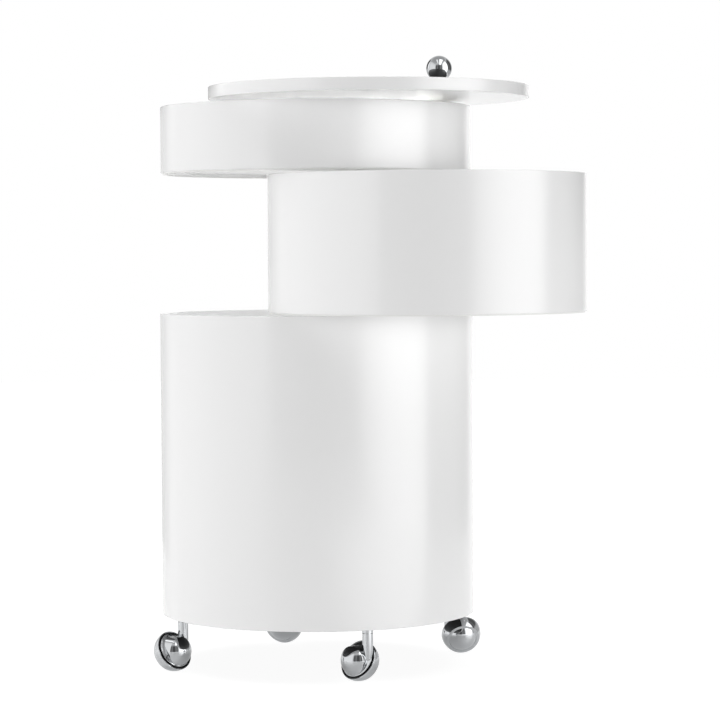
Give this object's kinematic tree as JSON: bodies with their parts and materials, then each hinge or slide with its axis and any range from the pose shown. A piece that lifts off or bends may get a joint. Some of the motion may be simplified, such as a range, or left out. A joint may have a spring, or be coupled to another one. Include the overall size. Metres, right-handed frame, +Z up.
{
  "type": "bar cart",
  "caption": "White cylindrical bar cart: an open base, round drawers and a flat top that swing about one off-centre post with a ball knob, on chromed ball casters.",
  "frame": {"origin": "on the base's axis, on the floor that the casters stand on", "axes": "+Z up, +X to the right and +Y away from someone who faces the cart's front"},
  "size_m": [0.5167, 0.4786, 0.7425],
  "materials": {
    "white_shell": "moulded ABS, white, semi-gloss",
    "white_panel": "white, satin",
    "top_lining": "linoleum, black, waxed",
    "base_panel": "plywood, black paint",
    "pivot_block": "moulded, white",
    "bearing_plastic": "acetal, natural",
    "glide": "polyethylene, white",
    "wheel_core": "nylon, black, moulded",
    "chrome": "polished chrome plate",
    "steel": "drawn, bright",
    "screw": "zinc plated"
  },
  "bodies": {
    "base": {"base_shell": "white_shell", "base_floor": "base_panel", "base_pivot_block": "pivot_block", "base_block_screws": "screw", "pivot_post": "steel", "post_foot": "steel", "post_foot_screws": "screw", "base_spacer": "bearing_plastic", "middle_spacer": "bearing_plastic", "upper_spacer": "bearing_plastic", "knob_washer": "chrome", "knob_neck": "chrome", "ball_knob": "chrome", "caster_right_socket": "chrome", "caster_back_socket": "chrome", "caster_left_socket": "chrome", "caster_front_socket": "chrome"},
    "middle_drawer": {"middle_shell": "white_shell", "middle_floor": "white_panel", "middle_glide_ring": "glide", "middle_pivot_block": "pivot_block", "middle_block_screws": "screw", "middle_pivot_tube": "steel", "middle_lower_bush": "bearing_plastic", "middle_upper_bush": "bearing_plastic"},
    "upper_drawer": {"upper_shell": "white_shell", "upper_floor": "white_panel", "upper_glide_ring": "glide", "upper_pivot_block": "pivot_block", "upper_block_screws": "screw", "upper_pivot_tube": "steel", "upper_lower_bush": "bearing_plastic", "upper_upper_bush": "bearing_plastic"},
    "top": {"top_disc": "white_shell", "top_inlay": "top_lining", "top_bush": "bearing_plastic"},
    "caster_right_swivel": {"caster_right_hood": "chrome", "caster_right_pintle": "steel", "caster_right_axle": "steel"},
    "caster_right_roller": {"caster_right_wheel": "chrome", "caster_right_wheel_core": "wheel_core"},
    "caster_back_swivel": {"caster_back_hood": "chrome", "caster_back_pintle": "steel", "caster_back_axle": "steel"},
    "caster_back_roller": {"caster_back_wheel": "chrome", "caster_back_wheel_core": "wheel_core"},
    "caster_left_swivel": {"caster_left_hood": "chrome", "caster_left_pintle": "steel", "caster_left_axle": "steel"},
    "caster_left_roller": {"caster_left_wheel": "chrome", "caster_left_wheel_core": "wheel_core"},
    "caster_front_swivel": {"caster_front_hood": "chrome", "caster_front_pintle": "steel", "caster_front_axle": "steel"},
    "caster_front_roller": {"caster_front_wheel": "chrome", "caster_front_wheel_core": "wheel_core"}
  },
  "joints": [
    {"name": "middle_swing", "type": "hinge", "parent": "base", "child": "middle_drawer", "pos_m": [0.15247, 0.06315, 0.56], "axis": [0, 0, 1], "continuous": true},
    {"name": "upper_swing", "type": "hinge", "parent": "base", "child": "upper_drawer", "pos_m": [0.15247, 0.06315, 0.56], "axis": [0, 0, 1], "continuous": true},
    {"name": "top_swing", "type": "hinge", "parent": "base", "child": "top", "pos_m": [0.15247, 0.06315, 0.56], "axis": [0, 0, 1], "continuous": true},
    {"name": "caster_right_swivel", "type": "hinge", "parent": "base", "child": "caster_right_swivel", "pos_m": [0.16189, 0.05956, 0.06], "axis": [0, 0, 1], "continuous": true},
    {"name": "caster_right_roll", "type": "hinge", "parent": "caster_right_swivel", "child": "caster_right_roller", "pos_m": [0.17647, 0.06213, 0.0245], "axis": [-0.1526, 0.8655, 0.4772], "continuous": true},
    {"name": "caster_back_swivel", "type": "hinge", "parent": "base", "child": "caster_back_swivel", "pos_m": [-0.05956, 0.16189, 0.06], "axis": [0, 0, 1], "continuous": true},
    {"name": "caster_back_roll", "type": "hinge", "parent": "caster_back_swivel", "child": "caster_back_roller", "pos_m": [-0.0465, 0.15494, 0.0245], "axis": [0.4126, 0.7759, 0.4772], "continuous": true},
    {"name": "caster_left_swivel", "type": "hinge", "parent": "base", "child": "caster_left_swivel", "pos_m": [-0.16189, -0.05956, 0.06], "axis": [0, 0, 1], "continuous": true},
    {"name": "caster_left_roll", "type": "hinge", "parent": "caster_left_swivel", "child": "caster_left_roller", "pos_m": [-0.17198, -0.07039, 0.0245], "axis": [0.6427, -0.5994, 0.4772], "continuous": true},
    {"name": "caster_front_swivel", "type": "hinge", "parent": "base", "child": "caster_front_swivel", "pos_m": [0.05956, -0.16189, 0.06], "axis": [0, 0, 1], "continuous": true},
    {"name": "caster_front_roll", "type": "hinge", "parent": "caster_front_swivel", "child": "caster_front_roller", "pos_m": [0.04865, -0.15189, 0.0245], "axis": [-0.5937, -0.6479, 0.4772], "continuous": true}
  ]
}
